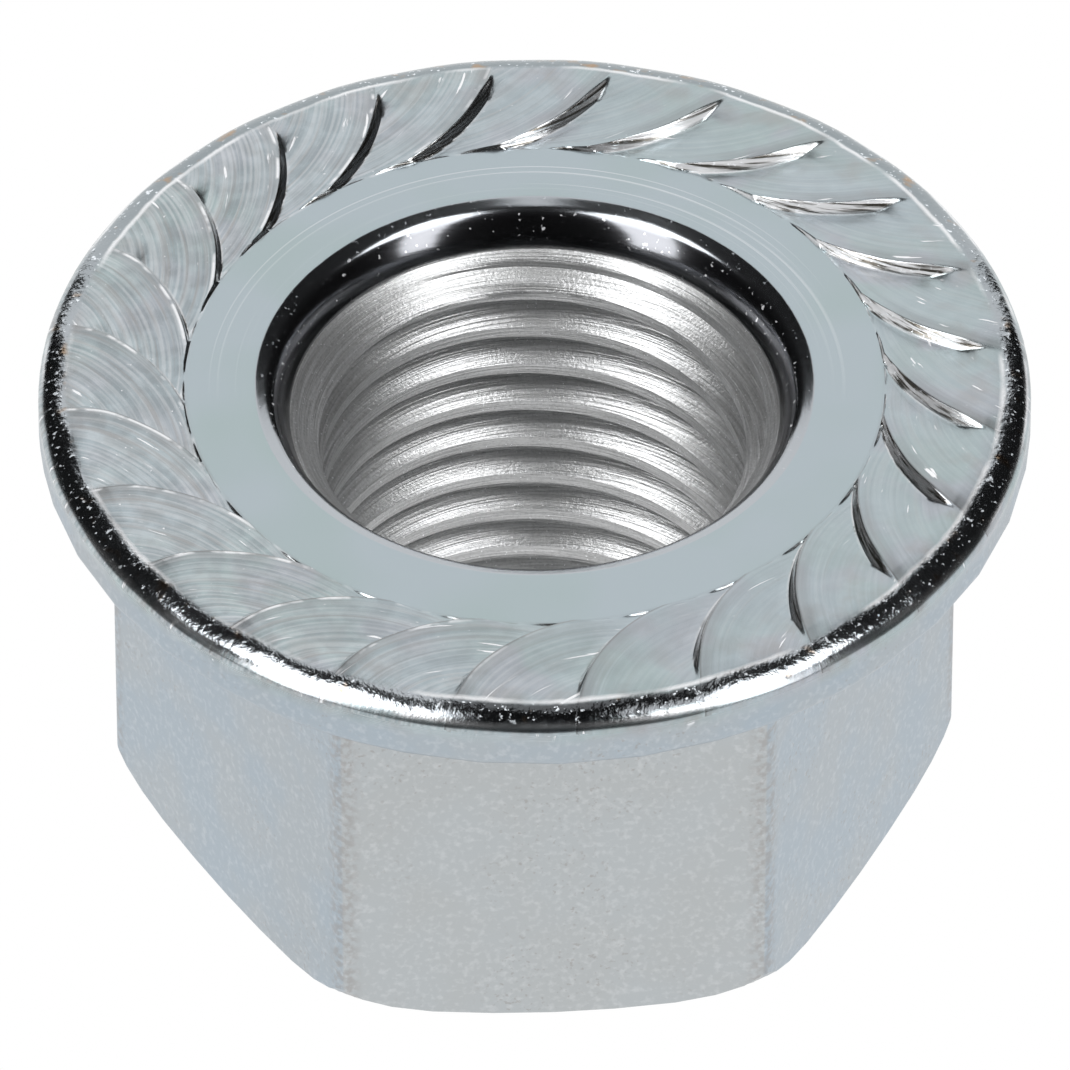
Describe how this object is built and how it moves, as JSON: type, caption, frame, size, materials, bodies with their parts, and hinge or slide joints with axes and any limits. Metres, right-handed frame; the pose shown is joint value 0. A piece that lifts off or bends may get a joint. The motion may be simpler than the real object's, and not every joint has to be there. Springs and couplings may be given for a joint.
{
  "type": "flange nut",
  "caption": "Hexagon nut with a round flange whose bearing face has curved, one-way serrations around a countersunk threaded bore.",
  "frame": {"origin": "on the bore axis, in the plane of the wrench end that the nut stands on", "axes": "+Z along the bore axis, from the wrench end towards the serrated bearing face; +X towards one corner of the hexagon, 3 degrees before it"},
  "size_m": [0.0295, 0.0294, 0.016],
  "materials": {
    "plated_steel": "bright zinc plate, satin with polished rim and countersink"
  },
  "bodies": {
    "root": {"flange_nut": "plated_steel"}
  },
  "joints": []
}
